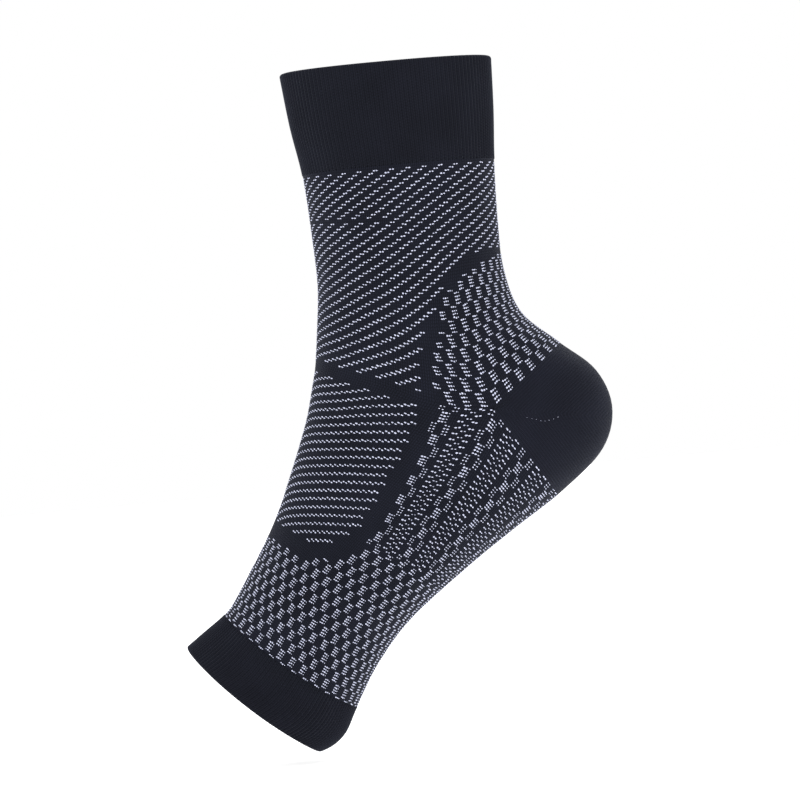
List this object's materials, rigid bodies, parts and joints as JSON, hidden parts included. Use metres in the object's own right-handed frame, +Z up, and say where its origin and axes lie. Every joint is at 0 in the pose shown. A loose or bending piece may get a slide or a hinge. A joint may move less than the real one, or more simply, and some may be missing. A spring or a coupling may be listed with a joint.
{
  "type": "ankle compression sleeve",
  "caption": "Knitted open-toe compression sleeve for the ankle and foot, with a ribbed cuff, plain heel pocket and a contour support band.",
  "frame": {"origin": "centre of the ankle, where the wearer's ankle or a form fills the sleeve", "axes": "+Z up along the leg, toes towards -X and down, +Y to one side; both sides are alike"},
  "size_m": [0.165, 0.058, 0.2505],
  "materials": {
    "plain_knit": "matt fine-ribbed knit, near-black navy",
    "dash_knit": "matt near-black knit with slanting rows of pale stitches",
    "check_knit": "matt near-black knit with a brick check of pale stitches"
  },
  "bodies": {
    "root": {"cuff_band": "plain_knit", "calf_zone": "dash_knit", "instep_zone": "dash_knit", "support_band": "plain_knit", "ankle_zone": "check_knit", "heel_pocket": "plain_knit", "foot_zone": "check_knit", "toe_band": "plain_knit"}
  },
  "joints": []
}
